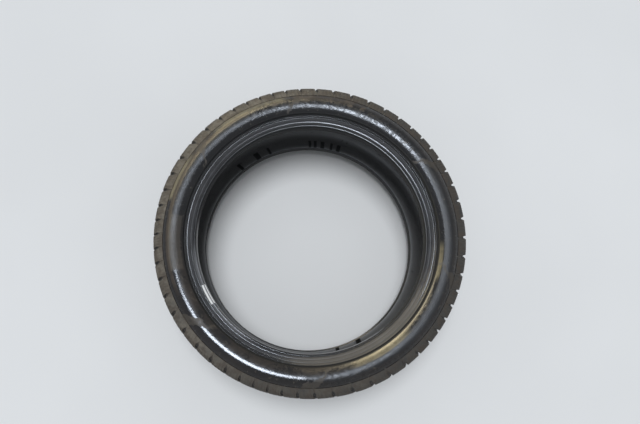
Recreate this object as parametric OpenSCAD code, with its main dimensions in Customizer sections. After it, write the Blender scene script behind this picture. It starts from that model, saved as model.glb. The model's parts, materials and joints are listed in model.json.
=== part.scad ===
// Low-profile radial car tyre, used and worn, lying on one sidewall without its wheel.
// The origin is on the ground under the centre, with +Z along the rolling axis.
// Outline points are [radius, height above the middle of the tread].

/* [Overall] */
// Outer radius at the middle of the worn tread
tread_r = 315.5; // [300:0.5:340]
// Section width, over the widest part of both sidewalls
section_w = 232; // [220:1:250]
// Radius of the cylindrical seat inside each bead
bead_r = 228.6; // [210:0.1:232]

/* [Beads] */
// Distance between the two bead toes of the unmounted tyre
toe_gap = 130; // [110:1:135]
// Length of the cylindrical seat
seat_len = 13; // [8:0.5:16]
// Round of the heel between the seat and the flange face
heel_round = 7.5; // [4:0.5:10]
// Steepness of the flange face, from the radial direction
flange_angle = 47; // [44:1:49]
// Length of the straight flange face
flange_len = 26.5; // [24:0.5:30]
// Round of the toe
toe_round = 1.5; // [1:0.1:3]
// Thickness of the bead behind the flange face
bead_wall = 14; // [10:0.5:17]

/* [Sidewall] */
// Radius at the middle of the flat band that the tyre lies on
crest_r = 271; // [267:0.5:275]
// Width of that flat band
crest_flat = 6; // [3:0.5:10]
// Thickness of the sidewall at the flat band
wall = 10; // [7:0.5:12]
// Width of the mould line between the bead and the sidewall
line_w = 3.9; // [2:0.1:5]
// Depth of that line
line_deep = 2; // [0.5:0.1:2.5]

/* [Tread] */
// Radius of the crown's curve from one shoulder to the other
crown_round = 900; // [600:10:1400]
// Distance of each shoulder's start from the middle of the tread
crown_half = 88; // [80:0.5:94]
// Radial drop from the middle of the tread to its pattern's edge on the shoulder
tread_drop = 25; // [20:0.5:28]
// Axial distance of that edge from the widest part of the sidewall
tread_inset = 9; // [8:0.5:14]
// Step between the sidewall and the edge of the tread pattern
tread_step = 0.9; // [0.3:0.1:1.5]
// Depth that is left in the grooves round the tyre
groove_deep = 5.6; // [3:0.1:8]
// Width of the grooves round the tyre
groove_w = 8.5; // [6:0.5:10]
// Distance of the inner pair of those grooves from the middle
inner_groove_at = 17.5; // [14:0.5:20]
// Distance of the outer pair of those grooves from the middle
outer_groove_at = 56; // [52:0.5:60]
// Thickness of the casing under the grooves
crown_wall = 6.4; // [4:0.1:9]
// Number of tread pitches round the tyre
pitches = 58; // [40:1:72]
// Shift of a cross groove from an even pitch, at most, in degrees round the tyre
pitch_swing = 1.9; // [0:0.1:2.5]
// Number of times that the pitch swings from short to long
pitch_waves = 5; // [1:1:8]
// Width of the cross grooves between the shoulder blocks
cross_w = 6.4; // [2:0.2:7]
// Width of the slots between the middle blocks
slot_w = 3.4; // [2:0.2:5]
// Rubber left under a slot, above the floor of the grooves round the tyre
slot_bridge = 1.4; // [0.4:0.1:2.4]
// Slant of the cross grooves and slots
slant = 14; // [0:1:28]

/* [Label] */
// Length of the paper label round the bead
label_len = 42; // [20:1:60]
// Width of the label's part on the flange face; the rest bends over the heel
label_w = 7.5; // [4:0.5:20]
// Thickness of the label
label_t = 0.2; // [0.1:0.05:0.5]
// Place of the label's middle, in degrees anticlockwise from +X
label_at = 209; // [0:1:359]

/* [Hidden] */
$fn = 180;
half_w = section_w / 2;
toe_h = toe_gap / 2;
seat_h = toe_h + toe_round + seat_len;
over = 40;             // how far a cutting shape reaches past the tread
draft = 1.1;           // lean of each groove wall over its depth
line_lip = 1.2;        // height of the sidewall's lip over the flange face
heel_steps = 6;        // flats that round the heel
label_steps = 4;       // how many of those flats the label bends over
cross_floor = 0.7;     // rubber under a cross groove, above the floor of the round grooves
cross_runout = 1.6;    // depth of a cross groove's end in the side of the tread's edge
casing_drop = 8.5;     // radial drop of the liner from the crown to the shoulder

// Directions along and out of the flange face, then its ends
along = [cos(flange_angle), sin(flange_angle)];
outward = [-sin(flange_angle), cos(flange_angle)];
heel_centre = [bead_r + heel_round, seat_h];
face_start = heel_centre + heel_round * outward;
face_end = face_start + flange_len * along;

// Edge of the tread pattern on the shoulder, and the crown's curve
edge = [tread_r - tread_drop, half_w - tread_inset];
function crown(h) = tread_r - crown_round + sqrt(pow(crown_round, 2) - pow(h, 2));
crown_start = [crown(crown_half), crown_half];
crown_lean = asin(crown_half / crown_round);

function arc(c, r, a0, a1, n) =
    [for (k = [0:n]) let (a = a0 + (a1 - a0) * k / n) c + r * [cos(a), sin(a)]];

// Smooth curve from a to b without b itself, with a pull vector at each end
function curve(a, a_pull, b_pull, b, n) =
    [for (k = [0:n - 1]) let (t = k / n, u = 1 - t)
        u*u*u * a + 3*u*u*t * (a + a_pull) + 3*u*t*t * (b + b_pull) + t*t*t * b];

function crown_arc(h0, h1, n) = [for (k = [0:n]) let (h = h0 + (h1 - h0) * k / n) [crown(h), h]];
function groove_floor(at) = [for (side = [1, -1]) [crown(at) - groove_deep, at + side * (groove_w / 2 - draft)]];
function mirrored(points) = [for (k = [len(points) - 1:-1:0]) [points[k][0], -points[k][1]]];

// Upper bead from its toe over the seat and the heel to the end of the flange face
function heel_line(r) = arc(heel_centre, r, 180, 90 + flange_angle, heel_steps);
bead_line = concat(
    arc([bead_r + toe_round, toe_h + toe_round], toe_round, 250, 180, 4),
    heel_line(heel_round),
    [face_end]);

// Mould line, then the sidewall over its flat band and down to the edge of the tread
line_floor = face_end + line_deep * (0.3 * along - outward);
line_end = face_end + line_w * along + line_lip * outward;
crest_in = [crest_r - crest_flat / 2, half_w];
crest_out = [crest_r + crest_flat / 2, half_w];
side_end = edge - [0.3, tread_step];
side_line = concat(
    [line_floor, line_floor + 0.6 * line_w * along],
    curve(line_end, 4 * along, [-8, 0], crest_in, 8),
    [crest_in],
    curve(crest_out, [6, 0], [-5, 4.4], side_end, 8),
    [side_end]);

// Shoulder, then the crown with its two grooves, to the middle of the tread
crown_pull = 12 * [-sin(crown_lean), cos(crown_lean)];
tread_line = concat(
    curve(edge, [9, -4.5], crown_pull, crown_start, 9),
    crown_arc(crown_half, outer_groove_at + groove_w / 2, 3),
    groove_floor(outer_groove_at),
    crown_arc(outer_groove_at - groove_w / 2, inner_groove_at + groove_w / 2, 3),
    groove_floor(inner_groove_at),
    crown_arc(inner_groove_at - groove_w / 2, 0, 2));

// Inner liner from the middle of the crown to the toe
liner_r = tread_r - groove_deep - crown_wall;
liner_mid = [crest_r + 3, half_w - wall];
liner_shoulder = [liner_r - casing_drop, crown_half + 4];
liner_bead = face_start + 10 * along - bead_wall * outward;
liner_toe = [bead_r + 2.4, toe_h - 0.4];
liner_line = concat(
    curve([liner_r, 0], [0, 42], [7.2, -14], liner_shoulder, 9),
    curve(liner_shoulder, [-5, 5.5], [7, 0.6], liner_mid, 7),
    curve(liner_mid, [-10, -1.8], 12 * along, liner_bead, 7),
    curve(liner_bead, -9 * along, [3.6, -0.2], liner_toe, 5),
    [liner_toe]);

upper_line = concat(bead_line, side_line, tread_line);
section = concat(upper_line, mirrored(upper_line), mirrored(liner_line), liner_line);

// Angle of cross groove k, where the pitch swings between short and long
function cross_angle(k) = k * 360 / pitches + pitch_swing * sin(pitch_waves * k * 360 / pitches);

// Groove between two shoulder blocks: deep on the tread and running out at its edge
module cross_groove() {
    deep = groove_deep - cross_floor;
    pivot = crown_half - 8;
    translate([0, 0, pivot]) rotate([slant, 0, 0]) translate([0, 0, -pivot])
        rotate([90, 0, 0]) linear_extrude(height = cross_w, center = true) polygon([
            [crown(outer_groove_at) - deep, outer_groove_at],
            [crown(crown_half) - deep, crown_half - 6],
            [crown(crown_half) - deep - 2, crown_half + 6],
            edge + [6.5, -4.5],
            edge + [cross_runout, 1.5],
            edge + [cross_runout, over],
            [tread_r + over, edge[1] + over],
            [tread_r + over, outer_groove_at]]);
}

// Slot across the blocks between the inner and the outer round groove
module middle_slot() {
    span = outer_groove_at - inner_groove_at - 0.2 * groove_w;
    translate([tread_r - groove_deep + slot_bridge, 0, (outer_groove_at + inner_groove_at) / 2])
        rotate([-slant, 0, 0]) translate([0, -slot_w / 2, -span / 2]) cube([over, slot_w, span]);
}

module cross_grooves() {
    for (k = [0:pitches - 1]) {
        rotate([0, 0, cross_angle(k)]) {
            cross_groove();
            middle_slot();
        }
        rotate([0, 0, cross_angle(k + 0.5)]) mirror([0, 0, 1]) {
            cross_groove();
            middle_slot();
        }
    }
}

module tyre() {
    color([0.08, 0.078, 0.075]) translate([0, 0, half_w]) difference() {
        rotate_extrude() polygon(section);
        cross_grooves();
    }
}

// Paper label stuck on the upper bead, over the heel and on to the flange face
module bead_label() {
    first = heel_steps - label_steps;
    under = heel_line(heel_round);
    above = heel_line(heel_round + label_t);
    high = face_start + label_w * along;
    turn = label_len / face_start[0] * 180 / PI;
    color([0.9, 0.89, 0.86]) translate([0, 0, half_w]) rotate([0, 0, label_at - turn / 2])
        rotate_extrude(angle = turn) polygon(concat(
            [for (k = [first:heel_steps]) under[k]],
            [high, high + label_t * outward],
            [for (k = [heel_steps:-1:first]) above[k]]));
}

tyre();
bead_label();
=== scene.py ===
"""Looks of a used low-profile car tyre: its mesh, finishes, paper label and studio."""

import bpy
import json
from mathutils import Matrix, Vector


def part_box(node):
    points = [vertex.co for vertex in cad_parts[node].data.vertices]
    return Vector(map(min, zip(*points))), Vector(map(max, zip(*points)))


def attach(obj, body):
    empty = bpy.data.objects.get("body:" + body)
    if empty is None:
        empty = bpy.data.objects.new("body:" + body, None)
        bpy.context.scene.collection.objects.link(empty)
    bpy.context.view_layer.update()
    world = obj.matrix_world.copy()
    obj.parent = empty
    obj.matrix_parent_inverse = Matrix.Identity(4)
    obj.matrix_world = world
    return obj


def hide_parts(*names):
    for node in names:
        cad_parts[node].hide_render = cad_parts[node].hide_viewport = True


bl_info = {
    "name": "Worn Tyre",
    "version": (1, 0, 0),
    "blender": (4, 5, 0),
    "location": "3D View > Sidebar > Tyre",
    "description": "Builds a used car tyre around its packed frame, with its finishes and a studio",
    "category": "Object",
}

import json
import math

import bmesh
import bpy
import numpy as np
from bpy.props import FloatProperty, FloatVectorProperty, IntProperty, PointerProperty
from mathutils import Matrix, Vector

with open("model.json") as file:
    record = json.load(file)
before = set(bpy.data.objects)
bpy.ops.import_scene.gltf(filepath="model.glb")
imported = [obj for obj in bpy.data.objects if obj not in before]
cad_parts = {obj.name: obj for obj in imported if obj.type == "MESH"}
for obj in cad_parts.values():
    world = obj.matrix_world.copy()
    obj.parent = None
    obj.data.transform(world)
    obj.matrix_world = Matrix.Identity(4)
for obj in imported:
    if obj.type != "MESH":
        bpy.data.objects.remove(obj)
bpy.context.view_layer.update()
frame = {"record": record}

MM = 0.001
MOUNTS = {mount["name"]: mount for mount in frame["record"]["mounts"]}
SEAT = MOUNTS["upper_bead_seat"]
TYRE_LOW, TYRE_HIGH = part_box("tyre")
SEAT_LENGTH = SEAT["dims"]["length_mm"] * MM
MIDDLE = (TYRE_LOW.z + TYRE_HIGH.z) / 2
SEAT_TOP = SEAT["pos_m"][2] + SEAT_LENGTH / 2 - MIDDLE

# Zones of the tyre's surface, each with a finish of its own
TREAD, SHOULDER, SIDEWALL, BEAD, LINER = range(5)


# ------------------------------------------------------------------ sizes that a user would change

def length_value(name, description, default):
    """Size in metres."""
    return FloatProperty(name=name, description=description, default=default, unit="LENGTH")


def angle_value(name, description, degrees):
    """Angle, given in degrees and kept in radians."""
    return FloatProperty(name=name, description=description, default=math.radians(degrees), subtype="ANGLE")


def colour_value(name, description, default):
    return FloatVectorProperty(name=name, description=description, default=default, subtype="COLOR")


class TyreSizes(bpy.types.PropertyGroup):
    """Sizes of the tyre's section and tread"""
    tread_radius: length_value(
        "Tread radius", "Outer radius at the middle of the worn tread", TYRE_HIGH.x)
    section_width: length_value(
        "Section width", "Over the widest part of both sidewalls", TYRE_HIGH.z - TYRE_LOW.z)
    bead_radius: length_value(
        "Bead radius", "Radius of the seat inside each bead", SEAT["dims"]["r_mm"] * MM)
    seat_length: length_value("Seat length", "Length of the cylindrical seat", SEAT_LENGTH)
    seat_top: length_value(
        "Seat height", "Height of the seat's heel end above the middle of the tread", SEAT_TOP)
    toe_round: length_value("Toe round", "Round of the bead's toe", 1.5 * MM)
    heel_round: length_value("Heel round", "Round of the bead's heel", 7.5 * MM)
    flange_angle: angle_value(
        "Flange angle", "Steepness of the flange face, from the radial direction", 47)
    flange_length: length_value("Flange length", "Length of the straight flange face", 26.5 * MM)
    line_width: length_value(
        "Mould line width", "Width of the line between the bead and the sidewall", 3.9 * MM)
    line_depth: length_value("Mould line depth", "Depth of that line", 2 * MM)
    bead_wall: length_value("Bead thickness", "Thickness behind the flange face", 14 * MM)
    crest_radius: length_value("Crest radius", "Radius of the band that the tyre lies on", 271 * MM)
    crest_flat: length_value("Crest width", "Width of that band", 6 * MM)
    wall: length_value("Sidewall thickness", "Thickness at the crest", 10 * MM)
    tread_drop: length_value("Tread drop", "Radial drop from the tread to its pattern's edge", 25 * MM)
    tread_inset: length_value("Tread inset", "Axial distance of that edge from the crest", 9 * MM)
    tread_step: length_value("Tread step", "Step between the sidewall and the tread pattern", 0.9 * MM)
    crown_round: length_value("Crown radius", "Radius of the crown across the tread", 0.9)
    crown_half: length_value(
        "Crown half width", "Distance of the shoulder's start from the middle", 88 * MM)
    groove_depth: length_value("Groove depth", "Depth that is left in the round grooves", 5.6 * MM)
    groove_width: length_value("Groove width", "Width of the round grooves", 8.5 * MM)
    inner_groove: length_value(
        "Inner groove", "Distance of the inner round grooves from the middle", 17.5 * MM)
    outer_groove: length_value(
        "Outer groove", "Distance of the outer round grooves from the middle", 56 * MM)
    crown_wall: length_value(
        "Casing thickness", "Thickness of the casing under the round grooves", 6.4 * MM)
    pitches: IntProperty(
        name="Pitches", description="Number of tread pitches round the tyre", default=58, min=40, max=72)
    pitch_swing: angle_value("Pitch swing", "Shift of a cross groove from an even pitch, at most", 1.9)
    pitch_waves: IntProperty(
        name="Pitch waves", description="How often the pitch swings from short to long", default=5)
    slant: angle_value("Slant", "Slant of the cross grooves", 14)
    cross_width: length_value(
        "Cross groove width", "Width of the grooves between shoulder blocks", 6.4 * MM)
    slot_width: length_value("Slot width", "Width of the slots between middle blocks", 3.4 * MM)
    sipe_width: length_value("Sipe width", "Width of the fine cuts in the blocks", 0.9 * MM)
    label_length: length_value("Label length", "Length of the label round the bead", 42 * MM)
    label_width: length_value("Label width", "Width of the label's part on the flange face", 7.4 * MM)
    label_thickness: length_value("Label thickness", "Thickness of the label", 0.18 * MM)
    label_place: angle_value("Label place", "Middle of the label, anticlockwise from +X", 209)
    uneven: length_value("Uneven wear", "Deepest local wear of the blocks", 0.5 * MM)


class TyreFinish(bpy.types.PropertyGroup):
    """Colours of the rubber and of what lies on it"""
    rubber: colour_value("Rubber", "Clean black rubber", (0.011, 0.011, 0.012))
    worn: colour_value("Worn rubber", "Scuffed and bloomed rubber", (0.066, 0.056, 0.042))
    dust: colour_value("Dust", "Taupe road dust", (0.155, 0.134, 0.105))
    mud: colour_value("Mud", "Dried brown mud", (0.044, 0.031, 0.021))
    paper: colour_value("Paper", "Paper of the bead label", (0.93, 0.92, 0.90))
    ink: colour_value("Ink", "Faint print on the label", (0.36, 0.36, 0.38))


class StudioSettings(bpy.types.PropertyGroup):
    """Floor, camera and lamps"""
    floor: colour_value("Floor", "Colour of the plain floor", (0.74, 0.735, 0.73))
    fill: FloatProperty(
        name="Fill", description="Strength of the even light from all round", default=0.42)
    key: FloatProperty(
        name="Key", description="Strength of the even light from above", default=2.05)
    backdrop: FloatProperty(
        name="Backdrop", description="Brightness of the backdrop behind the floor", default=0.72)
    camera_place: FloatVectorProperty(
        name="Camera place", description="Where the camera is", subtype="TRANSLATION",
        default=(-0.0547, -0.1667, 1.3531))
    camera_aim: FloatVectorProperty(
        name="Camera aim", description="What the camera points at", subtype="TRANSLATION",
        default=(0.0217, 0.0661, 0.116))
    camera_roll: angle_value("Camera roll", "Turn of the camera about its line of sight", -0.65)
    lens: FloatProperty(
        name="Lens", description="Focal length in millimetres, on a sensor 36 mm wide", default=32.8)


# ------------------------------------------------------------------ small helpers for node trees

def feed(tree, socket, value):
    """Gives a socket a value, or joins it to the output that it takes its value from."""
    if isinstance(value, bpy.types.NodeSocket):
        tree.links.new(value, socket)
    else:
        socket.default_value = value


def add(tree, kind, values=(), **settings):
    """Adds one node, with its settings and its inputs by name or number."""
    node = tree.nodes.new(kind)
    for name, value in settings.items():
        setattr(node, name, value)
    for key, value in dict(values).items():
        feed(tree, node.inputs[key], value)
    return node


def maths(tree, operation, a, b=0.0, c=0.0):
    return add(tree, "ShaderNodeMath", {0: a, 1: b, 2: c}, operation=operation).outputs[0]


def colour4(value):
    """Colour with its alpha; an output that gives a colour stays as it is."""
    return value if isinstance(value, bpy.types.NodeSocket) else (*value, 1.0)


def blend(tree, amount, a, b):
    """Colour a where the amount is 0, and b where it is 1."""
    node = add(tree, "ShaderNodeMix", {0: amount, 6: colour4(a), 7: colour4(b)}, data_type="RGBA")
    return node.outputs[2]


def ramp(tree, value, low, high, to_low=0.0, to_high=1.0):
    """Smooth step of a value from low to high."""
    node = add(tree, "ShaderNodeMapRange", interpolation_type="SMOOTHSTEP")
    for key, number in zip(("Value", "From Min", "From Max", "To Min", "To Max"),
                           (value, low, high, to_low, to_high)):
        feed(tree, node.inputs[key], number)
    return node.outputs["Result"]


def noise(tree, vector, scale, detail=3.0, rough=0.55, distortion=0.0):
    node = add(tree, "ShaderNodeTexNoise", {
        "Vector": vector, "Scale": scale, "Detail": detail, "Roughness": rough, "Distortion": distortion})
    return node.outputs["Fac"]


def new_group(name, inputs, outputs):
    """Shader group with its sockets; gives the tree, its inputs and its output node."""
    tree = bpy.data.node_groups.new(name, "ShaderNodeTree")
    kinds = {"value": "NodeSocketFloat", "colour": "NodeSocketColor", "vector": "NodeSocketVector"}
    for socket, (kind, default) in inputs.items():
        made = tree.interface.new_socket(name=socket, in_out="INPUT", socket_type=kinds[kind])
        if default is not None:
            made.default_value = default
    for socket, kind in outputs.items():
        tree.interface.new_socket(name=socket, in_out="OUTPUT", socket_type=kinds[kind])
    return tree, tree.nodes.new("NodeGroupInput").outputs, tree.nodes.new("NodeGroupOutput")


def use(tree, group, **values):
    """Places a shader group; underscores in a name stand for spaces."""
    node = tree.nodes.new("ShaderNodeGroup")
    node.node_tree = group
    for key, value in values.items():
        feed(tree, node.inputs[key.replace("_", " ")], value)
    return node.outputs


# ------------------------------------------------------------------ effects shared by the finishes

def make_polar_group():
    """Where a point is on the tyre: radius and height in mm, and degrees clockwise from +Y."""
    tree, _, out = new_group("Place On Tyre", {}, {
        "Radius": "value", "Clock": "value", "Height": "value", "Round": "vector"})
    point = add(tree, "ShaderNodeTexCoord").outputs["Object"]
    x, y, z = add(tree, "ShaderNodeSeparateXYZ", {0: point}).outputs
    flat = add(tree, "ShaderNodeCombineXYZ", {0: x, 1: y}).outputs[0]
    radius = add(tree, "ShaderNodeVectorMath", {0: flat}, operation="LENGTH").outputs["Value"]
    clock = maths(tree, "DEGREES", maths(tree, "ARCTAN2", x, y))
    clock = maths(tree, "FLOORED_MODULO", clock, 360.0)
    radius_mm = maths(tree, "MULTIPLY", radius, 1000.0)
    feed(tree, out.inputs["Radius"], radius_mm)
    feed(tree, out.inputs["Clock"], clock)
    feed(tree, out.inputs["Height"], maths(tree, "MULTIPLY", z, 1000.0))
    feed(tree, out.inputs["Round"], add(tree, "ShaderNodeCombineXYZ", {
        0: clock, 1: radius_mm, 2: maths(tree, "MULTIPLY", z, 1000.0)}).outputs[0])
    return tree


def make_band_group():
    """1 between two values, falling softly to 0 on both sides."""
    tree, given, out = new_group("Band", {
        "Value": ("value", 0.0), "From": ("value", 0.0), "To": ("value", 1.0), "Soft": ("value", 1.0)},
        {"Mask": "value"})
    rise = ramp(tree, given["Value"], maths(tree, "SUBTRACT", given["From"], given["Soft"]), given["From"])
    fall = ramp(tree, given["Value"], given["To"], maths(tree, "ADD", given["To"], given["Soft"]), 1.0, 0.0)
    feed(tree, out.inputs["Mask"], maths(tree, "MULTIPLY", rise, fall))
    return tree


def make_sector_group():
    """1 within half an angle of a clock angle, falling softly to 0, right round the tyre."""
    tree, given, out = new_group("Sector", {
        "Clock": ("value", 0.0), "Middle": ("value", 0.0), "Half": ("value", 10.0), "Soft": ("value", 4.0)},
        {"Mask": "value"})
    off = maths(tree, "SUBTRACT", given["Clock"], given["Middle"])
    off = maths(tree, "FLOORED_MODULO", maths(tree, "ADD", off, 180.0), 360.0)
    off = maths(tree, "ABSOLUTE", maths(tree, "SUBTRACT", off, 180.0))
    edge = maths(tree, "ADD", given["Half"], given["Soft"])
    feed(tree, out.inputs["Mask"], ramp(tree, off, given["Half"], edge, 1.0, 0.0))
    return tree


def make_dirt_group():
    """Cloudy dirt in two sizes, as a mask that an amount makes thin or thick."""
    tree, given, out = new_group("Dirt", {
        "Amount": ("value", 0.5), "Scale": ("value", 20.0), "Soft": ("value", 0.2)}, {"Mask": "value"})
    point = add(tree, "ShaderNodeTexCoord").outputs["Object"]
    broad = noise(tree, point, given["Scale"], 5.0, 0.6, 0.4)
    fine = noise(tree, point, maths(tree, "MULTIPLY", given["Scale"], 9.0), 3.0, 0.7)
    cloud = maths(tree, "MULTIPLY_ADD", fine, 0.3, maths(tree, "MULTIPLY", broad, 0.7))
    edge = ramp(tree, given["Amount"], 0.0, 1.0, 0.75, 0.25)
    high = maths(tree, "ADD", edge, given["Soft"])
    feed(tree, out.inputs["Mask"], ramp(tree, cloud, maths(tree, "SUBTRACT", edge, given["Soft"]), high))
    return tree


def make_rings_group():
    """Fine mould rings round the axis, as a height from 0 to 1."""
    tree, given, out = new_group("Mould Rings", {
        "Radius": ("value", 0.0), "Height": ("value", 0.0), "Pitch": ("value", 1.0)}, {"Rings": "value"})
    along = maths(tree, "ADD", given["Radius"], given["Height"])
    turn = maths(tree, "DIVIDE", maths(tree, "MULTIPLY", along, 2 * math.pi), given["Pitch"])
    wave = maths(tree, "MULTIPLY_ADD", maths(tree, "SINE", turn), 0.5, 0.5)
    feed(tree, out.inputs["Rings"], wave)
    return tree


def make_groups():
    return {
        "place": make_polar_group(), "band": make_band_group(), "sector": make_sector_group(),
        "dirt": make_dirt_group(), "rings": make_rings_group()}


# ------------------------------------------------------------------ finishes

# A patch is a clock angle, half an angle and a softness in degrees, then two radii and a softness in mm
SERRATED_FIELDS = ((30, 48, 4.0, 268.0, 280.0, 3.0), (150, 32, 4.0, 259.0, 272.0, 3.0))
SERRATED_PLATE = (267, 11, 1.0, 256.0, 278.0, 2.0)
FILM_UNDER_CREST = (215, 45, 25.0, 250.0, 264.0, 5.0)
FILM_OVER_CREST = (290, 36, 14.0, 277.0, 282.0, 2.0)
MUD_FLAKES = (5, 20, 8.0, 274.0, 292.0, 3.0)
# These patches are partly dust and partly a painted warm reflection, where the glossy rubber faces the warm
# window.
OCHRE_DUST_AND_REFLECTION = (
    (333, 12, 7.0, 281.0, 288.0, 3.5), (294, 8, 3.0, 284.0, 288.5, 2.5),
    (150, 9, 8.0, 255.0, 263.0, 3.5), (102, 5, 5.0, 253.0, 258.0, 3.0))
BEAD_DUST = (156, 22, 24.0, 236.0, 262.0, 4.0)
# Painted highlight: a pale streak on the heel at the lower left, where it catches the light
PAINTED_HEEL_HIGHLIGHT = (238, 18, 14.0, 230.5, 235.0, 1.5)

# Clock angle and half width of each mud run and of each bar in the liner, in degrees
MUD_RUNS = ((57, 3.0), (105, 2.4), (177, 2.8), (232, 2.2), (307, 3.2), (352, 2.4))
LINER_BARS = (
    (1, 0.5), (4, 0.6), (8, 0.9), (13, 0.5), (17, 0.8), (153, 1.2), (165, 0.8), (320, 0.7), (331, 1.2),
    (338, 0.5))

TOOTH = 0.25           # half the pitch of the serrations, in degrees
CORD_RIB = 0.6         # half the pitch of the liner's ribs, in degrees
RUN_LEAN = -0.22       # turn of a mud run over its radius, in degrees per mm
RUN_START = 51.0       # turn that puts the runs back in place after their lean
RUN_WANDER = 16.0      # how far the runs wander, in degrees
# Painted shade in the mould line and on the bead's seat
PAINTED_SHADE_BLACK = (0.004, 0.0035, 0.003)
# Painted shade deep in the tread's grooves
PAINTED_GROOVE_SHADE = (0.008, 0.008, 0.008)
# Painted shade deep in the shoulder's grooves, and the colour of real marks in the liner
MARK_AND_GROOVE_SHADE = (0.006, 0.006, 0.006)


class Finish:
    """One material under way: its tree, its place on the tyre and the masks that it is made of."""

    def __init__(self, name, groups):
        self.material = bpy.data.materials.new(name)
        self.material.use_nodes = True
        self.tree = self.material.node_tree
        self.tree.nodes.clear()
        self.groups = groups
        place = use(self.tree, groups["place"])
        self.radius, self.clock, self.height, self.round = (
            place["Radius"], place["Clock"], place["Height"], place["Round"])
        self.point = add(self.tree, "ShaderNodeTexCoord").outputs["Object"]

    def band(self, value, start, end, soft):
        return use(self.tree, self.groups["band"], Value=value, From=start, To=end, Soft=soft)["Mask"]

    def ring(self, start, end, soft):
        """Band between two radii in mm."""
        return self.band(self.radius, start, end, soft)

    def sector(self, middle, half, soft=4.0, clock=None):
        return use(self.tree, self.groups["sector"], Clock=clock or self.clock,
                   Middle=middle, Half=half, Soft=soft)["Mask"]

    def patch(self, middle, half, turn_soft, start, end, soft):
        """Part of a ring, on both sides of a clock angle."""
        return self.times(self.sector(middle, half, turn_soft), self.ring(start, end, soft))

    def dirt(self, amount, scale, soft=0.2):
        return use(self.tree, self.groups["dirt"], Amount=amount, Scale=scale, Soft=soft)["Mask"]

    def rings(self, pitch):
        return use(self.tree, self.groups["rings"], Radius=self.radius, Height=self.height,
                   Pitch=pitch)["Rings"]

    def teeth(self, where):
        """Fine radial serrations in a masked place, as a height from 0 to 1."""
        return self.times(maths(self.tree, "PINGPONG", self.clock, TOOTH), 1 / TOOTH, where)

    def noise(self, scale, detail=3.0, rough=0.55):
        return noise(self.tree, self.point, scale, detail, rough)

    def ramp(self, value, low, high, to_low=0.0, to_high=1.0):
        return ramp(self.tree, value, low, high, to_low, to_high)

    def spread(self, mask, at_zero, at_one=1.0):
        """The mask with other values at its 0 and its 1."""
        return ramp(self.tree, mask, 0.0, 1.0, at_zero, at_one)

    def times(self, *values):
        result = values[0]
        for value in values[1:]:
            result = maths(self.tree, "MULTIPLY", result, value)
        return result

    def most(self, *values):
        result = values[0]
        for value in values[1:]:
            result = maths(self.tree, "MAXIMUM", result, value)
        return result

    def blend(self, amount, a, b):
        return blend(self.tree, amount, a, b)

    def mix(self, amount, a, b):
        """Number a where the amount is 0, and b where it is 1."""
        node = add(self.tree, "ShaderNodeMix", {0: amount, 2: a, 3: b}, data_type="FLOAT")
        return node.outputs[0]

    def stored(self, name):
        return add(self.tree, "ShaderNodeAttribute", attribute_name=name).outputs["Fac"]

    def bump(self, height, distance, strength=1.0, normal=None):
        node = add(self.tree, "ShaderNodeBump", {
            "Height": height, "Distance": distance, "Strength": strength})
        if normal is not None:
            feed(self.tree, node.inputs["Normal"], normal)
        return node.outputs["Normal"]

    def shade(self, colour, roughness, normal, specular=0.5):
        shader = add(self.tree, "ShaderNodeBsdfPrincipled", {
            "Base Color": colour, "Roughness": roughness, "Specular IOR Level": specular,
            "Normal": normal})
        output = add(self.tree, "ShaderNodeOutputMaterial")
        feed(self.tree, output.inputs["Surface"], shader.outputs[0])
        return self.material


def tread_finish(groups, colours):
    """Scrubbed tread: grey-olive dust on the blocks, mud in the grooves, and painted shade that makes the
    grooves darker with depth.
    """
    f = Finish("tread_rubber", groups)
    depth, rim = f.stored("depth"), f.stored("rim")
    cloud = f.dirt(0.55, 14.0)
    worn = f.blend(cloud, colours.rubber, colours.worn)
    scuffs = f.most(f.times(rim, 0.5), f.times(f.dirt(0.5, 35.0, 0.1), 0.4))
    scuffed = f.blend(scuffs, worn, colours.dust)
    mud = f.times(f.band(depth, 0.45, 1.1, 0.3), f.dirt(0.45, 30.0))
    packed = f.blend(f.times(mud, 0.5), scuffed, colours.mud)
    # Painted shade: the deeper a groove, the darker it is painted.
    dark = f.times(f.ramp(depth, 0.15, 0.75), 0.7)
    colour = f.blend(dark, packed, PAINTED_GROOVE_SHADE)
    grain = f.bump(f.noise(900.0, 4.0, 0.65), 0.25 * MM, 0.6)
    return f.shade(colour, f.mix(cloud, 0.62, 0.85), grain)


def shoulder_finish(groups, colours):
    """Shoulder blocks: lighter towards the left and the upper left, scrubbed smooth towards the crown, with
    painted shade deep in their grooves.
    """
    f = Finish("shoulder_rubber", groups)
    depth, rim = f.stored("depth"), f.stored("rim")
    # These masks make the blocks lighter towards the left and the upper left.
    cloud = f.times(f.dirt(0.6, 18.0), f.spread(f.sector(270, 90, 60.0), 0.5))
    base = f.blend(cloud, colours.rubber, colours.worn)
    side = f.spread(f.sector(290, 50, 50.0), 0.06, 0.75)
    lighter_patch = f.blend(f.times(f.dirt(0.55, 45.0), side), base, colours.dust)
    scuffs = f.times(rim, 0.55, f.spread(f.dirt(0.55, 90.0), 0.3))
    scuffed = f.blend(scuffs, lighter_patch, colours.dust)
    # Painted shade: the deeper a groove, the darker it is painted.
    dark = f.times(f.ramp(depth, 0.12, 0.6), 0.85)
    colour = f.blend(dark, scuffed, MARK_AND_GROOVE_SHADE)
    colour = f.blend(f.times(f.dirt(0.5, 75.0, 0.06), 0.7), colour, colours.mud)
    grain = f.bump(f.noise(700.0, 4.0, 0.65), 0.3 * MM, 0.6)
    return f.shade(colour, f.mix(cloud, 0.5, 0.8), grain)


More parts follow.
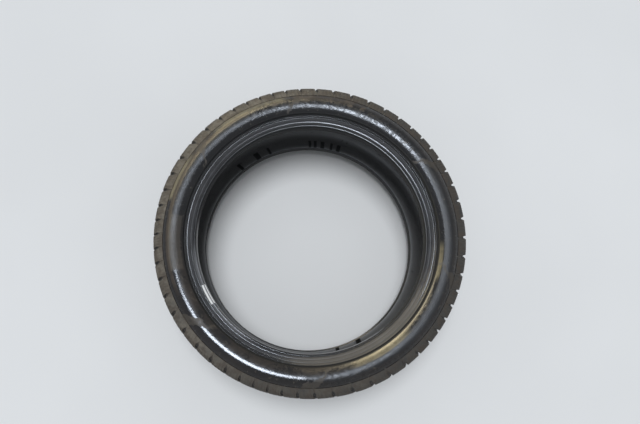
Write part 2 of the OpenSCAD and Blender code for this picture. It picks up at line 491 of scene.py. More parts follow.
def mud_runs(f):
    """Runs of dried mud that lean, wander and taper towards the bead."""
    wander = maths(f.tree, "MULTIPLY_ADD", f.noise(26.0, 4.0), RUN_WANDER, f.clock)
    lean = maths(f.tree, "MULTIPLY_ADD", f.radius, RUN_LEAN, maths(f.tree, "ADD", wander, RUN_START))
    taper = f.ramp(f.radius, 259.0, 288.0, 0.15, 1.0)
    runs = f.most(*[f.sector(middle, f.times(taper, half), 0.6, lean) for middle, half in MUD_RUNS])
    return f.times(runs, f.spread(f.dirt(0.55, 70.0), 0.5))


def sidewall_film(f):
    """Brown film over and under the crest."""
    caked = f.most(f.sector(309, 5, 3.0), f.sector(4, 16, 8.0), 0.25)
    outer = f.times(f.ring(280.0, 295.0, 5.0), f.spread(f.dirt(0.5, 30.0), 0.3), caked)
    lower = f.times(f.patch(*FILM_UNDER_CREST), f.dirt(0.5, 20.0), 0.8)
    over = f.times(f.patch(*FILM_OVER_CREST), f.dirt(0.7, 30.0))
    return f.most(outer, lower, over)


def dulled_crest(f):
    """How matt the crest is: least on the stretches that are polished."""
    gloss = f.most(f.sector(216, 38, 3.0), f.times(f.sector(14, 30, 24.0), 0.72),
                   f.times(f.sector(165, 15, 20.0), 0.5))
    calm = f.spread(f.sector(305, 30, 12.0), 1.0, 0.55)
    return f.times(f.ring(264.0, 279.0, 5.0), maths(f.tree, "SUBTRACT", 0.95, gloss), 0.65, calm)


def sidewall_finish(groups, colours):
    """Glossy black sidewall with matt serrated fields, brown film, dried mud runs, golden patches of dust
    with a painted warm reflection, and painted shade in the mould line.
    """
    f = Finish("sidewall_rubber", groups)
    ragged = f.ramp(f.noise(70.0), 0.38, 0.52)
    plate = f.patch(*SERRATED_PLATE)
    serrated = f.most(*[f.times(f.patch(*field), ragged) for field in SERRATED_FIELDS], plate)
    stretched = add(f.tree, "ShaderNodeVectorMath", {0: f.round, 1: (0.9, 0.16, 0.05)},
                    operation="MULTIPLY").outputs[0]
    streaks = f.ramp(noise(f.tree, stretched, 1.0, 4.0, 0.65), 0.45, 0.60)
    unpolished = maths(f.tree, "SUBTRACT", 1.0, f.sector(218, 34, 8.0))
    mottled = f.times(streaks, f.ring(262.0, 282.0, 4.0), unpolished)
    film = sidewall_film(f)
    flakes = f.times(f.dirt(0.42, 60.0, 0.05), f.patch(*MUD_FLAKES))
    # Golden patches: partly dust, partly a painted warm reflection.
    ochre = f.times(f.most(*[f.patch(*place) for place in OCHRE_DUST_AND_REFLECTION]), f.spread(f.dirt(0.6, 40.0), 0.45))
    runs = mud_runs(f)
    specks = f.times(f.dirt(0.3, 110.0, 0.08), 0.6)
    # Painted shade: the mould line is painted nearly black.
    seam = f.ring(240.0, 252.4, 0.5)
    colour = f.blend(f.dirt(0.4, 8.0), colours.rubber, (0.018, 0.017, 0.018))
    for amount, layer in (
            (f.times(film, 0.85), colours.mud),
            (f.times(ochre, 0.8), (0.230, 0.190, 0.110)),
            (f.times(runs, 0.8), (0.052, 0.042, 0.031)),
            (f.times(flakes, 0.8), (0.085, 0.064, 0.045)),
            (f.most(specks, f.times(plate, 0.18)), colours.dust),
            (seam, PAINTED_SHADE_BLACK)):
        colour = f.blend(amount, colour, layer)
    matt = f.most(f.times(film, 0.7), runs, flakes, f.times(serrated, 0.25), specks, dulled_crest(f),
                  seam, f.times(mottled, 0.55))
    skin = f.bump(f.noise(230.0, 4.0, 0.6), 0.35 * MM, 0.6, f.bump(mottled, 0.12 * MM, 0.7))
    normal = f.bump(f.teeth(serrated), 0.2 * MM, 1.0, skin)
    return f.shade(colour, f.mix(matt, 0.18, 0.66), normal, 0.45)


def bead_finish(groups, colours):
    """Bead and flange face: fine mould rings, rubbed grey by the rim, with dust on one side, a painted
    highlight on the heel and painted shade in the mould line and on the seat.
    """
    f = Finish("bead_rubber", groups)
    rubbed = f.times(f.rings(2.6), f.dirt(0.5, 25.0))
    lighter_patch = f.times(f.patch(*BEAD_DUST), f.spread(f.dirt(0.6, 30.0), 0.4))
    chafed = f.times(f.ring(235.0, 243.0, 2.0), f.spread(f.dirt(0.6, 35.0), 0.4))
    # Painted shade: the seat and the heel are darkened, except at the lower left.
    seat = f.times(f.ring(0.0, 230.4, 1.5), f.spread(f.sector(210, 55, 25.0), 1.0, 0.1))
    # Painted shade in the mould line.
    seam = f.ring(248.6, 260.0, 0.3)
    colour = f.blend(rubbed, (0.014, 0.014, 0.015), (0.034, 0.033, 0.034))
    for amount, layer in (
            (chafed, (0.060, 0.060, 0.064)),
            # painted highlight on the heel
            (f.times(f.patch(*PAINTED_HEEL_HIGHLIGHT), 0.8), (0.170, 0.170, 0.178)),
            (f.times(lighter_patch, 0.42), colours.dust),
            (f.most(seam, f.times(seat, 0.8)), PAINTED_SHADE_BLACK)):
        colour = f.blend(amount, colour, layer)
    matt = f.most(f.times(lighter_patch, 0.8), f.times(rubbed, 0.15), seat, seam)
    grain = f.bump(f.noise(500.0), 0.08 * MM, 0.5)
    combs = f.teeth(f.ring(242.0, 246.5, 0.5))
    normal = f.bump(combs, 0.2 * MM, 0.8, f.bump(f.rings(1.3), 0.08 * MM, 0.5, grain))
    return f.shade(colour, f.mix(matt, 0.17, 0.8), normal)


def liner_finish(groups):
    """Inner liner: matt dark grey butyl with faint cord ribs, marks of the curing bladder, and painted
    light towards clock 200 and on the lower bead.
    """
    f = Finish("liner_rubber", groups)
    smears = f.dirt(0.4, 22.0)
    # Painted light: the liner is lighter towards clock 200, where light falls into the cavity.
    lighter_patch = f.times(f.sector(200, 95, 40.0), f.spread(smears, 0.6))
    low = f.ramp(f.height, 60.0, 80.0, 1.0, 0.0)
    bars = f.most(*[f.sector(middle, half, 0.4) for middle, half in LINER_BARS])
    bars = f.times(bars, f.ring(231.0, 254.0, 3.0), low)
    colour = f.blend(smears, (0.035, 0.035, 0.036), (0.075, 0.075, 0.078))
    for amount, layer in (
            (lighter_patch, (0.115, 0.116, 0.112)),
            # painted light: the lower bead and the liner next to it are made light grey
            (f.times(low, 0.8), (0.30, 0.30, 0.305)),
            (f.most(f.times(f.dirt(0.3, 60.0, 0.05), 0.7), bars), MARK_AND_GROOVE_SHADE)):
        colour = f.blend(amount, colour, layer)
    ribs = maths(f.tree, "PINGPONG", f.clock, CORD_RIB)
    normal = f.bump(ribs, 0.25 * MM, 0.5, f.bump(f.noise(320.0), 0.2 * MM, 0.5))
    return f.shade(colour, f.mix(smears, 0.5, 0.75), normal)


def paper_finish(colours):
    """White label paper with faint grey print that says nothing."""
    material = bpy.data.materials.new("label_paper")
    material.use_nodes = True
    tree = material.node_tree
    tree.nodes.clear()
    place = add(tree, "ShaderNodeUVMap", uv_map="sheet").outputs[0]
    u, v, _ = add(tree, "ShaderNodeSeparateXYZ", {0: place}).outputs
    grain = noise(tree, place, 60.0, 4.0)
    stretched = add(tree, "ShaderNodeCombineXYZ", {
        0: maths(tree, "MULTIPLY", u, 34.0), 1: maths(tree, "MULTIPLY", v, 3.0)}).outputs[0]
    dashes = ramp(tree, noise(tree, stretched, 1.0), 0.52, 0.6)
    line = maths(tree, "MULTIPLY", ramp(tree, v, 0.38, 0.42), ramp(tree, v, 0.58, 0.62, 1.0, 0.0))
    margin = maths(tree, "MULTIPLY", ramp(tree, u, 0.12, 0.16), ramp(tree, u, 0.84, 0.88, 1.0, 0.0))
    print_mask = maths(tree, "MULTIPLY", maths(tree, "MULTIPLY", dashes, line), margin)
    soiled = blend(tree, ramp(tree, grain, 0.5, 0.8), colours.paper, (0.70, 0.67, 0.60))
    colour = blend(tree, maths(tree, "MULTIPLY", print_mask, 0.75), soiled, colours.ink)
    bump = add(tree, "ShaderNodeBump", {"Height": grain, "Distance": 0.1 * MM, "Strength": 0.4})
    shader = add(tree, "ShaderNodeBsdfPrincipled", {
        "Base Color": colour, "Roughness": ramp(tree, grain, 0.3, 0.7, 0.5, 0.75),
        "Normal": bump.outputs[0]})
    output = add(tree, "ShaderNodeOutputMaterial")
    feed(tree, output.inputs["Surface"], shader.outputs[0])
    return material


# ------------------------------------------------------------------ the tyre's outline

def arc(centre, radius, start, end, steps):
    """Points of an arc, with the angles in degrees."""
    angles = np.radians(np.linspace(start, end, steps + 1))
    return [centre + radius * np.array([math.cos(a), math.sin(a)]) for a in angles]


def curve(start, start_pull, end_pull, end, steps):
    """Smooth curve without its end point, with a pull at each end."""
    a, b, c, d = start, start + start_pull, end + end_pull, end
    return [(1 - t) ** 3 * a + 3 * (1 - t) ** 2 * t * b + 3 * (1 - t) * t * t * c + t ** 3 * d
            for t in np.arange(steps) / steps]


def mm(radial, axial):
    return np.array([radial, axial]) * MM


# Raised rings of the flange face as (distance up the face in mm, height), and the profile of one
BEAD_RINGS = ((22.6, 0.55), (19.0, 1.0), (14.6, 0.5), (9.4, 1.0), (1.1, 1.0))
RING_PROFILE = ((1.5, 0.0), (0.7, 0.85), (0.0, 1.0), (-0.5, 0.7), (-0.9, 0.0))
LINE_LIP = 1.2 * MM          # height of the sidewall's lip over the flange face
CREST_FALL = 0.15 * MM       # how far the crest falls to each edge of its band
CASING_DROP = 8.5 * MM       # radial drop of the liner from the crown to the shoulder


class Outline:
    """Points of the tyre's section as [radius, height above the middle], in metres."""

    def __init__(self, sizes):
        self.sizes = sizes
        half = sizes.section_width / 2
        angle = sizes.flange_angle
        self.along = np.array([math.cos(angle), math.sin(angle)])
        self.outward = np.array([-math.sin(angle), math.cos(angle)])
        self.heel_centre = np.array([sizes.bead_radius + sizes.heel_round, sizes.seat_top])
        self.face_start = self.heel_centre + sizes.heel_round * self.outward
        self.face_end = self.face_start + sizes.flange_length * self.along
        self.edge = np.array([sizes.tread_radius - sizes.tread_drop, half - sizes.tread_inset])
        self.side_end = self.edge - np.array([0.3 * MM, sizes.tread_step])
        self.toe_height = sizes.seat_top - sizes.seat_length - sizes.toe_round
        self.half = half
        self.liner_radius = sizes.tread_radius - sizes.groove_depth - sizes.crown_wall
        self.liner_middle = np.array([self.liner_radius, 0.0])

    def crown(self, height):
        bend = self.sizes.crown_round
        return self.sizes.tread_radius - bend + math.sqrt(bend ** 2 - height ** 2)

    def flange_face(self):
        """Flange face from the mould line to the heel, with its raised mould rings."""
        points = [self.face_end - 0.5 * MM * self.outward, self.face_end - 0.4 * MM * self.along]
        for place, height in BEAD_RINGS:
            for offset, rise in RING_PROFILE:
                at = self.face_start + (place + offset) * MM * self.along
                points.append(at + rise * height * MM * self.outward)
        return points

    def sidewall(self):
        """From the edge of the tread pattern over the crest to the mould line."""
        s = self.sizes
        crest = np.array([s.crest_radius, self.half])
        crest_in = crest - np.array([s.crest_flat / 2, CREST_FALL])
        crest_out = crest + np.array([s.crest_flat / 2, -CREST_FALL])
        line_end = self.face_end + s.line_width * self.along + LINE_LIP * self.outward
        floor = self.face_end + s.line_depth * (0.3 * self.along - self.outward)
        return (curve(self.side_end, mm(-5, 4.4), mm(6, -0.7), crest_out, 14)
                + curve(crest_out, mm(-1, 0.1), mm(1, 0), crest, 2)
                + curve(crest, mm(-1, 0), mm(1, 0.1), crest_in, 2)
                + curve(crest_in, mm(-8, -0.9), 4 * MM * self.along, line_end, 14)
                + [line_end, line_end - mm(0.1, 0.4), floor + 0.6 * s.line_width * self.along, floor])

    def bead(self):
        """Heel, seat and toe."""
        s = self.sizes
        turn = 90 + math.degrees(s.flange_angle)
        toe_centre = np.array([s.bead_radius + s.toe_round, self.toe_height + s.toe_round])
        return (arc(self.heel_centre, s.heel_round, turn, 180, 8)
                + arc(toe_centre, s.toe_round, 180, 250, 5))

    def liner(self):
        """From the toe over the inner liner to the middle of the crown."""
        s = self.sizes
        middle = np.array([s.crest_radius + 3 * MM, self.half - s.wall])
        shoulder = np.array([self.liner_radius - CASING_DROP, s.crown_half + 4 * MM])
        bead = self.face_start + 10 * MM * self.along - s.bead_wall * self.outward
        toe = np.array([s.bead_radius + 2.4 * MM, self.toe_height - 0.4 * MM])
        return (curve(toe, mm(3.6, -0.2), -9 * MM * self.along, bead, 5)
                + curve(bead, 12 * MM * self.along, mm(-10, -1.8), middle, 8)
                + curve(middle, mm(7, 0.6), mm(-5, 5.5), shoulder, 7)
                + curve(shoulder, mm(7.2, -14), mm(0, 42), self.liner_middle, 8))

    def casing(self):
        """All of it but the tread, from the upper edge of the tread round to the lower one."""
        upper = ([(p, SIDEWALL) for p in self.sidewall()]
                 + [(p, BEAD) for p in self.flange_face() + self.bead()]
                 + [(p, LINER) for p in self.liner()])
        lower = [(p * (1, -1), zone) for p, zone in reversed(upper)]
        return upper + [(self.liner_middle, LINER)] + lower


# ------------------------------------------------------------------ one pitch of the tread

FLOOR, RIM, TOP, CUT = range(4)
CASING_STEPS = 3             # faces of the casing in one pitch
SIPES = 4                    # fine cuts in each block
SIPE_DEPTH = 3.2 * MM
CHAMFER = 0.6 * MM           # worn edge of a block, seen from above
RIM_DROP = 0.5 * MM          # how far the rim of a round groove lies under the blocks
GROOVE_DRAFT = 1.1 * MM      # lean of a round groove's wall over its depth
CROSS_FLOOR = 0.7 * MM       # rubber under a cross groove, above the floor of the round grooves
EDGE_WIDTH = 1.8 * MM        # width of a cross groove where it runs out on the shoulder
EDGE_DEPTH = 0.8 * MM        # its depth there
SHOULDER_PIVOT = 8 * MM      # distance from the shoulder's start to where its grooves don't shift
CENTRE_WIDTH = 1.6 * MM      # width of the cuts across the middle rib
CENTRE_DEPTH = 2.5 * MM      # depth of those cuts
CENTRE_SHIFT = 0.07          # their shift, as a share of a pitch
OPEN_FROM, OPEN_OVER = 0.26, 0.16    # where up the shoulder a cross groove starts to open, and over what


class TreadRow:
    """One ring of the tread: where it is, how its grooves are cut there and what it belongs to."""

    def __init__(self, place, normal, drop, groove, cross, sipe, shift, zone):
        self.place, self.normal, self.drop = place, normal, drop
        self.groove, self.cross, self.sipe = groove, cross, sipe
        self.shift, self.zone = shift, zone

    def mirrored(self, half_turn):
        place, normal = self.place * (1, -1), self.normal * (1, -1)
        return TreadRow(place, normal, self.drop, self.groove, self.cross, self.sipe,
                        self.shift + half_turn, self.zone)

    def columns(self, pitch, sipe_width):
        """Distance along the pitch, and kind, of each column from one cross groove to the next."""
        half, draft = self.groove / 2, min(0.6 * MM, self.groove / 4)
        start = [(0.0, FLOOR), (half - draft, FLOOR), (half, RIM), (half + CHAMFER, TOP)]
        end = [(pitch - distance, kind) for distance, kind in reversed(start)]
        block = pitch - 2 * (half + CHAMFER)
        cuts = []
        for k in range(SIPES):
            at = half + CHAMFER + block * (k + 0.5) / SIPES
            cuts += [(at - sipe_width / 2, TOP), (at, CUT), (at + sipe_width / 2, TOP)]
        return start + cuts + end

    def depth(self, kind):
        if kind == FLOOR:
            return max(self.drop, self.cross)
        if kind == RIM:
            return min(max(self.drop, 0.3 * MM) + 0.2 * MM, max(self.drop, self.cross))
        if kind == CUT:
            return max(self.drop, self.sipe)
        return self.drop


def tread_rows(outline):
    """Rows of the upper half of the tread from its edge to the middle, then of the lower half."""
    s = outline.sizes
    pitch = 2 * math.pi * s.tread_radius / s.pitches
    lean = math.tan(s.slant) / pitch
    cross = s.groove_depth - CROSS_FLOOR
    radial = np.array([1.0, 0.0])

    def shoulder_shift(height):
        return -lean * (height - (s.crown_half - SHOULDER_PIVOT))

    def middle_shift(height):
        return lean * (height - (s.inner_groove + s.outer_groove) / 2)

    def flat_row(height, drop, shift, groove=s.cross_width, deep=cross, sipe=SIPE_DEPTH, zone=TREAD):
        return TreadRow(np.array([outline.crown(height), height]), radial, drop, groove, deep, sipe,
                        shift, zone)

    rows = []
    tilt = math.asin(s.crown_half / s.crown_round)
    crown_start = np.array([outline.crown(s.crown_half), s.crown_half])
    shoulder = curve(outline.edge, mm(9, -4.5), 12 * MM * np.array([-math.sin(tilt), math.cos(tilt)]),
                     crown_start, 10) + [crown_start]
    for k, place in enumerate(shoulder):
        before, after = shoulder[max(k - 1, 0)], shoulder[min(k + 1, len(shoulder) - 1)]
        direction = (after - before) / np.linalg.norm(after - before)
        normal = np.array([-direction[1], direction[0]])
        share = k / (len(shoulder) - 1)
        opening = min(1.0, max(0.0, (share - OPEN_FROM) / OPEN_OVER))
        rows.append(TreadRow(
            place, normal, 0.0,
            groove=EDGE_WIDTH + opening * (s.cross_width - EDGE_WIDTH),
            cross=EDGE_DEPTH + (0.8 * share + 0.2) * opening * (cross - EDGE_DEPTH) + CROSS_FLOOR * share,
            sipe=(0.1 + 1.2 * share * share) * MM, shift=shoulder_shift(place[1]), zone=SHOULDER))

    def round_groove(at, before, after, before_groove, after_groove):
        """Rim, floor, floor and rim of a groove that runs round the tyre."""
        high, low = at + s.groove_width / 2, at - s.groove_width / 2
        return [
            flat_row(high + CHAMFER, 0.0, before(high), before_groove),
            flat_row(high, RIM_DROP, before(high), before_groove),
            flat_row(high - GROOVE_DRAFT, s.groove_depth, before(high), before_groove),
            flat_row(low + GROOVE_DRAFT, s.groove_depth, after(low), after_groove),
            flat_row(low, RIM_DROP, after(low), after_groove),
            flat_row(low - CHAMFER, 0.0, after(low), after_groove)]

    def centre_shift(height):
        return CENTRE_SHIFT

    rows += [flat_row(h, 0.0, shoulder_shift(h)) for h in (80 * MM, 70 * MM)]
    rows += round_groove(s.outer_groove, shoulder_shift, middle_shift, s.cross_width, s.slot_width)
    middle = (s.inner_groove + s.outer_groove) / 2
    rows.append(flat_row(middle, 0.0, middle_shift(middle), s.slot_width))
    rows += round_groove(s.inner_groove, middle_shift, centre_shift, s.slot_width, CENTRE_WIDTH)
    for row in rows[-3:]:
        row.cross = max(row.drop, CENTRE_DEPTH)
    lower = [row.mirrored(0.5) for row in reversed(rows)]
    for row in lower[:3]:
        row.shift = CENTRE_SHIFT
    centre = flat_row(0.0, 0.0, CENTRE_SHIFT, CENTRE_WIDTH, CENTRE_DEPTH)
    return rows + [centre] + lower


class PitchStrip:
    """Vertices and faces of one pitch, with x along the pitch from 0 to 1, y the radius, z the height."""

    def __init__(self):
        self.points, self.faces, self.zones = [], [], []
        self.depths, self.rims, self.wear = [], [], []

    def ring(self, phases, places, depth=None, rim=None, wear=0.0):
        first = len(self.points)
        self.points += [(phase, place[0], place[1]) for phase, place in zip(phases, places)]
        self.depths += list(depth if depth is not None else [0.0] * len(phases))
        self.rims += list(rim if rim is not None else [0.0] * len(phases))
        self.wear += [wear] * len(phases)
        return list(range(first, first + len(phases)))

    def join(self, upper, lower, zone):
        """Quads between two rows with as many points, triangles where the counts differ."""
        if len(upper) == len(lower):
            for k in range(len(upper) - 1):
                self.faces.append((upper[k], lower[k], lower[k + 1], upper[k + 1]))
                self.zones.append(zone)
            return
        i = j = 0
        while i < len(upper) - 1 or j < len(lower) - 1:
            next_up = (i + 1) / (len(upper) - 1) if i < len(upper) - 1 else 2.0
            next_low = (j + 1) / (len(lower) - 1) if j < len(lower) - 1 else 2.0
            if next_up <= next_low:
                self.faces.append((upper[i], lower[j], upper[i + 1]))
                i += 1
            else:
                self.faces.append((upper[i], lower[j], lower[j + 1]))
                j += 1
            self.zones.append(zone)


def pitch_strip(sizes):
    """The whole closed section of the tyre over one pitch of its tread."""
    outline = Outline(sizes)
    pitch = 2 * math.pi * sizes.tread_radius / sizes.pitches
    strip = PitchStrip()
    rings = []
    for row in tread_rows(outline):
        columns = row.columns(pitch, sizes.sipe_width)
        phases = [distance / pitch + row.shift for distance, _ in columns]
        drops = [row.depth(kind) for _, kind in columns]
        places = [row.place - drop * row.normal for drop in drops]
        rims = [1.0 if kind == RIM or 0.0 < row.drop < 1 * MM and kind != FLOOR else 0.0
                for _, kind in columns]
        depth = [drop / sizes.groove_depth for drop in drops]
        rings.append((strip.ring(phases, places, depth, rims, 1.0), row.zone))
    for (upper, zone), (lower, next_zone) in zip(rings, rings[1:]):
        strip.join(upper, lower, max(zone, next_zone) if TREAD in (zone, next_zone) else zone)
    casing = outline.casing()
    first_shift, last_shift = (strip.points[rings[k][0][0]][0] for k in (0, -1))
    previous = None
    for k, (place, zone) in enumerate(casing):
        shift = first_shift + (last_shift - first_shift) * k / (len(casing) - 1)
        phases = [shift + n / CASING_STEPS for n in range(CASING_STEPS + 1)]
        ring = strip.ring(phases, [place] * len(phases))
        if previous is None:
            strip.join(ring, rings[0][0], SHOULDER)
        else:
            strip.join(ring, previous, zone)
        previous = ring
    strip.join(rings[-1][0], previous, SHOULDER)
    return strip


def strip_object(strip):
    """Mesh object of one pitch, with the values that its finishes and its wear read."""
    mesh = bpy.data.meshes.new("tyre")
    mesh.from_pydata(strip.points, [], strip.faces)
    for name, values in (("depth", strip.depths), ("rim", strip.rims), ("wear", strip.wear)):
        attribute = mesh.attributes.new(name, "FLOAT", "POINT")
        attribute.data.foreach_set("value", values)
    zones = mesh.attributes.new("zone", "INT", "FACE")
    zones.data.foreach_set("value", strip.zones)
    piece = bpy.data.objects.new("tyre_pitch", mesh)
    bpy.context.scene.collection.objects.link(piece)
    return piece


def geometry_input(tree, name, kind, default=None):
    socket = tree.interface.new_socket(name=name, in_out="INPUT", socket_type=kind)
    if default is not None:
        socket.default_value = default
    return socket.identifier


def make_wrap_tree(finishes):
    """Repeats one pitch, wraps the row of them round the axis, wears it and gives it its finishes."""
    tree = bpy.data.node_groups.new("Wrap Pitches Round Axis", "GeometryNodeTree")
    tree.interface.new_socket(name="Geometry", in_out="INPUT", socket_type="NodeSocketGeometry")
    names = {
        "Pitches": geometry_input(tree, "Pitches", "NodeSocketInt", 58),
        "Swing": geometry_input(tree, "Swing", "NodeSocketFloat", 0.0),
        "Waves": geometry_input(tree, "Waves", "NodeSocketFloat", 5.0),
        "Middle": geometry_input(tree, "Middle", "NodeSocketFloat", 0.0),
        "Uneven": geometry_input(tree, "Uneven", "NodeSocketFloat", 0.0)}
    tree.interface.new_socket(name="Geometry", in_out="OUTPUT", socket_type="NodeSocketGeometry")
    given = tree.nodes.new("NodeGroupInput").outputs
    out = tree.nodes.new("NodeGroupOutput")
    line = add(tree, "GeometryNodeMeshLine", {"Count": given["Pitches"], "Offset": (1, 0, 0)})
    placed = add(tree, "GeometryNodeInstanceOnPoints", {
        "Points": line.outputs[0], "Instance": given["Geometry"]})
    solid = add(tree, "GeometryNodeRealizeInstances", {"Geometry": placed.outputs[0]})
    place = add(tree, "ShaderNodeSeparateXYZ", {0: add(tree, "GeometryNodeInputPosition").outputs[0]})
    phase, radius, height = place.outputs
    even = maths(tree, "DIVIDE", maths(tree, "MULTIPLY", phase, 2 * math.pi), given["Pitches"])
    wave = maths(tree, "SINE", maths(tree, "MULTIPLY", even, given["Waves"]))
    turn = maths(tree, "MULTIPLY_ADD", wave, given["Swing"], even)
    cosine, sine = maths(tree, "COSINE", turn), maths(tree, "SINE", turn)
    unit = add(tree, "ShaderNodeCombineXYZ", {0: cosine, 1: sine, 2: height}).outputs[0]
    cloud = add(tree, "ShaderNodeTexNoise", {"Vector": unit, "Scale": 3.0, "Detail": 3.0}).outputs[0]
    worn = add(tree, "GeometryNodeInputNamedAttribute", {"Name": "wear"}, data_type="FLOAT").outputs[0]
    loss = maths(tree, "MULTIPLY", maths(tree, "MULTIPLY", cloud, worn), given["Uneven"])
    radius = maths(tree, "SUBTRACT", radius, loss)
    wrapped = add(tree, "ShaderNodeCombineXYZ", {
        0: maths(tree, "MULTIPLY", cosine, radius), 1: maths(tree, "MULTIPLY", sine, radius),
        2: maths(tree, "ADD", height, given["Middle"])}).outputs[0]
    moved = add(tree, "GeometryNodeSetPosition", {"Geometry": solid.outputs[0], "Position": wrapped})
    result = add(tree, "GeometryNodeMergeByDistance", {
        "Geometry": moved.outputs[0], "Distance": 0.01 * MM}).outputs[0]
    zone = add(tree, "GeometryNodeInputNamedAttribute", {"Name": "zone"}, data_type="INT").outputs[0]
    for number, material in enumerate(finishes):
        chosen = add(tree, "FunctionNodeCompare", {2: zone, 3: number},
                     data_type="INT", operation="EQUAL").outputs[0]
        result = add(tree, "GeometryNodeSetMaterial", {
            "Geometry": result, "Selection": chosen, "Material": material}).outputs[0]
    feed(tree, out.inputs[0], result)
    return tree, names


def plain_mesh(piece, name):
    """Object with the evaluated mesh of a piece, without modifiers."""
    depsgraph = bpy.context.evaluated_depsgraph_get()
    mesh = bpy.data.meshes.new_from_object(piece.evaluated_get(depsgraph))
    bpy.data.objects.remove(piece)
    mesh.name = name
    made = bpy.data.objects.new(name, mesh)
    bpy.context.scene.collection.objects.link(made)
    return made


# ------------------------------------------------------------------ operators

SHARP_ANGLE = math.radians(38)
LABEL_COLUMNS = 36


class TYRE_OT_casing_and_tread(bpy.types.Operator):
    """Build the tyre: casing, beads and worn tread in one closed mesh"""
    bl_idname = "tyre.casing_and_tread"
    bl_label = "Tyre"

    def execute(self, context):
        sizes, colours = context.scene.tyre_sizes, context.scene.tyre_finish
        groups = make_groups()
        finishes = [make(groups, colours) for make in (
            tread_finish, shoulder_finish, sidewall_finish, bead_finish)] + [liner_finish(groups)]
        piece = strip_object(pitch_strip(sizes))
        tree, names = make_wrap_tree(finishes)
        modifier = piece.modifiers.new("Wrap", "NODES")
        modifier.node_group = tree
        modifier[names["Pitches"]] = sizes.pitches
        modifier[names["Swing"]] = sizes.pitch_swing
        modifier[names["Waves"]] = float(sizes.pitch_waves)
        modifier[names["Middle"]] = MIDDLE
        modifier[names["Uneven"]] = sizes.uneven
        tyre = plain_mesh(piece, "worn_tyre")
        outward_normals(tyre.data)
        tyre.data.shade_smooth()
        tyre.data.set_sharp_from_angle(angle=SHARP_ANGLE)
        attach(tyre, "root")
        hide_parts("tyre")
        return {"FINISHED"}


def outward_normals(mesh):
    """Turns every face of a closed mesh outwards."""
    shell = bmesh.new()
    shell.from_mesh(mesh)
    bmesh.ops.recalc_face_normals(shell, faces=shell.faces)
    shell.to_mesh(mesh)
    shell.free()


class TYRE_OT_label(bpy.types.Operator):
    """Build the paper label that is bent over the heel of the upper bead"""
    bl_idname = "tyre.label"
    bl_label = "Paper label"

    def execute(self, context):
        sizes = context.scene.tyre_sizes
        label = sheet_object(label_rows(Outline(sizes), sizes), sizes)
        label.data.materials.append(paper_finish(context.scene.tyre_finish))
        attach(label, "root")
        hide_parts("bead_label")
        return {"FINISHED"}


def label_rows(outline, sizes):
    """Section of the label's upper side, from its edge in the seat's heel up the flange face."""
    heel = arc(outline.heel_centre, sizes.heel_round, 164, 90 + math.degrees(sizes.flange_angle), 8)
    face = [outline.face_start + share * sizes.label_width * outline.along for share in (0.35, 0.7, 1.0)]
    return heel + face


def sheet_object(section, sizes):
    """Thin closed sheet that follows a section over an arc of the bead, with its own flat map."""
    half_turn = sizes.label_length / section[-1][0] / 2
    columns, rows = LABEL_COLUMNS, len(section)
    ends = np.array(section)
    run = np.concatenate([[0], np.cumsum(np.linalg.norm(np.diff(ends, axis=0), axis=1))])
    slopes = np.gradient(ends, axis=0)
    outs = np.stack([-slopes[:, 1], slopes[:, 0]], axis=1)
    outs /= np.linalg.norm(outs, axis=1)[:, None]
    shell = bmesh.new()
    layer = shell.loops.layers.uv.new("sheet")
    sheets, place = [], {}
    for side in (1.0, 0.25):
        sheet = []
        for i in range(columns + 1):
            across = 2 * i / columns - 1
            turn = sizes.label_place + across * half_turn
            for j in range(rows):
                point = ends[j] + side * sizes.label_thickness * outs[j]
                vertex = shell.verts.new((point[0] * math.cos(turn), point[0] * math.sin(turn),
                                          point[1] + MIDDLE))
                place[vertex] = (i / columns, run[j] / run[-1])
                sheet.append(vertex)
        sheets.append(sheet)
    upper, lower = sheets
    for i in range(columns):
        for j in range(rows - 1):
            corners = (i * rows + j, (i + 1) * rows + j, (i + 1) * rows + j + 1, i * rows + j + 1)
            shell.faces.new([upper[k] for k in corners])
            shell.faces.new([lower[k] for k in reversed(corners)])
    rim = ([i * rows for i in range(columns + 1)] + [columns * rows + j for j in range(1, rows)]
           + [i * rows + rows - 1 for i in range(columns - 1, -1, -1)] + list(range(rows - 2, 0, -1)))
    for a, b in zip(rim, rim[1:] + rim[:1]):
        shell.faces.new((upper[b], upper[a], lower[a], lower[b]))
    bmesh.ops.recalc_face_normals(shell, faces=shell.faces)
    for face in shell.faces:
        for corner in face.loops:
            corner[layer].uv = place[corner.vert]
    mesh = bpy.data.meshes.new("bead_label_sheet")
    shell.to_mesh(mesh)
    shell.free()
    mesh.shade_smooth()
    mesh.set_sharp_from_angle(angle=SHARP_ANGLE)
    label = bpy.data.objects.new("bead_label_sheet", mesh)
    bpy.context.scene.collection.objects.link(label)
    return label


FLOOR_REACH = 40.0
KEY_SPREAD = math.radians(24)


def sky_light(towards, strength):
    """Even soft light from far above, as from a bright ceiling."""
    light = bpy.data.lights.new("key_light", "SUN")
    light.energy = strength
    light.angle = KEY_SPREAD
    light.color = (0.92, 0.96, 1.0)
    made = bpy.data.objects.new("key_light", light)
    made.rotation_euler = Vector(towards).to_track_quat("Z", "Y").to_euler()
    made.visible_glossy = False
    bpy.context.scene.collection.objects.link(made)


def reflection(name, place, size, power, colour):
    """Soft window that shows only as a reflection in the glossy rubber."""
    light = bpy.data.lights.new(name, "AREA")
    light.shape = "RECTANGLE"
    light.size, light.size_y = size
    light.energy = power
    light.color = colour
    made = bpy.data.objects.new(name, light)
    made.location = place
    made.rotation_euler = (Vector((0, 0, 0.2)) - Vector(place)).to_track_quat("-Z", "Y").to_euler()
    made.visible_camera = False
    made.visible_diffuse = False
    bpy.context.scene.collection.objects.link(made)


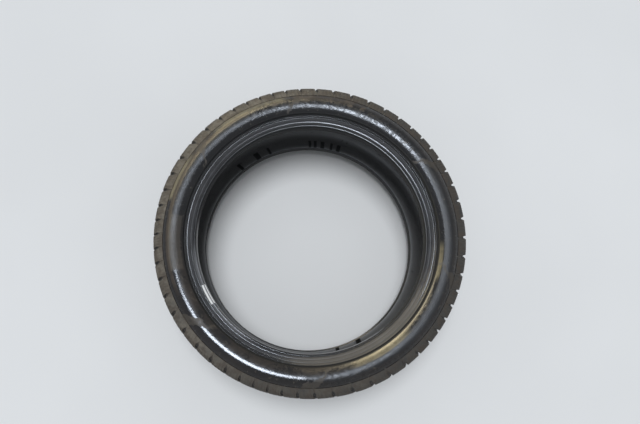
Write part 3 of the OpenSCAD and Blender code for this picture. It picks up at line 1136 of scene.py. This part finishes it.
class TYRE_OT_stage(bpy.types.Operator):
    """Build the floor, the lamps and the camera"""
    bl_idname = "tyre.stage"
    bl_label = "Studio"

    def execute(self, context):
        scene, studio = context.scene, context.scene.tyre_studio
        self.build_floor(studio)
        sky_light((-0.06, 0.14, 1.0), studio.key)
        reflection("cool_reflection", (-0.65, -0.6, 6.0), (1.7, 1.7), 400.0, (0.80, 0.88, 1.0))
        reflection("warm_reflection", (-1.23, 1.82, 1.6), (2.0, 0.9), 66.0, (1.0, 0.86, 0.58))
        world = bpy.data.worlds.new("studio")
        world.use_nodes = True
        background = world.node_tree.nodes["Background"]
        background.inputs["Color"].default_value = (0.9, 0.95, 1.0, 1.0)
        seen = add(world.node_tree, "ShaderNodeLightPath").outputs["Is Camera Ray"]
        feed(world.node_tree, background.inputs["Strength"], maths(
            world.node_tree, "MULTIPLY_ADD", seen, studio.backdrop - studio.fill, studio.fill))
        scene.world = world
        scene.view_settings.view_transform = "Standard"
        self.place_camera(scene, studio)
        return {"FINISHED"}

    def build_floor(self, studio):
        mesh = bpy.data.meshes.new("floor")
        corners = [(x * FLOOR_REACH, y * FLOOR_REACH, 0) for x, y in ((-1, -1), (1, -1), (1, 1), (-1, 1))]
        mesh.from_pydata(corners, [], [(0, 1, 2, 3)])
        floor = bpy.data.objects.new("floor", mesh)
        bpy.context.scene.collection.objects.link(floor)
        material = bpy.data.materials.new("floor_paint")
        material.use_nodes = True
        tree = material.node_tree
        shader = tree.nodes["Principled BSDF"]
        point = add(tree, "ShaderNodeTexCoord").outputs["Object"]
        patchy = ramp(tree, noise(tree, point, 1.3, 3.0), 0.3, 0.7)
        deeper = [value * 0.96 for value in studio.floor]
        feed(tree, shader.inputs["Base Color"], blend(tree, patchy, studio.floor, deeper))
        shader.inputs["Roughness"].default_value = 0.6
        shader.inputs["Specular IOR Level"].default_value = 0.0
        mesh.materials.append(material)

    def place_camera(self, scene, studio):
        data = bpy.data.cameras.new("camera")
        data.sensor_width = 36.0
        data.lens = studio.lens
        camera = bpy.data.objects.new("camera", data)
        bpy.context.scene.collection.objects.link(camera)
        place, aim = Vector(studio.camera_place), Vector(studio.camera_aim)
        forward = (aim - place).normalized()
        right = forward.cross(Vector((0, 1, 0))).normalized()
        basis = Matrix((right, right.cross(forward), -forward)).transposed()
        turn = Matrix.Rotation(studio.camera_roll, 3, "Z")
        camera.matrix_world = Matrix.Translation(place) @ (basis @ turn).to_4x4()
        scene.camera = camera


class TYRE_PT_sidebar(bpy.types.Panel):
    """Buttons for the tyre, its label and the studio"""
    bl_idname = "TYRE_PT_sidebar"
    bl_label = "Worn tyre"
    bl_space_type = "VIEW_3D"
    bl_region_type = "UI"
    bl_category = "Tyre"

    def draw(self, context):
        for operator in OPERATORS:
            self.layout.operator(operator.bl_idname)


OPERATORS = (TYRE_OT_casing_and_tread, TYRE_OT_label, TYRE_OT_stage)
CLASSES = (TyreSizes, TyreFinish, StudioSettings, *OPERATORS, TYRE_PT_sidebar)


def register():
    for kind in CLASSES:
        bpy.utils.register_class(kind)
    bpy.types.Scene.tyre_sizes = PointerProperty(type=TyreSizes)
    bpy.types.Scene.tyre_finish = PointerProperty(type=TyreFinish)
    bpy.types.Scene.tyre_studio = PointerProperty(type=StudioSettings)


def unregister():
    del bpy.types.Scene.tyre_sizes, bpy.types.Scene.tyre_finish, bpy.types.Scene.tyre_studio
    for kind in reversed(CLASSES):
        bpy.utils.unregister_class(kind)


def main():
    register()
    bpy.ops.tyre.casing_and_tread()
    bpy.ops.tyre.label()
    bpy.ops.tyre.stage()


if __name__ == "__main__":
    main()
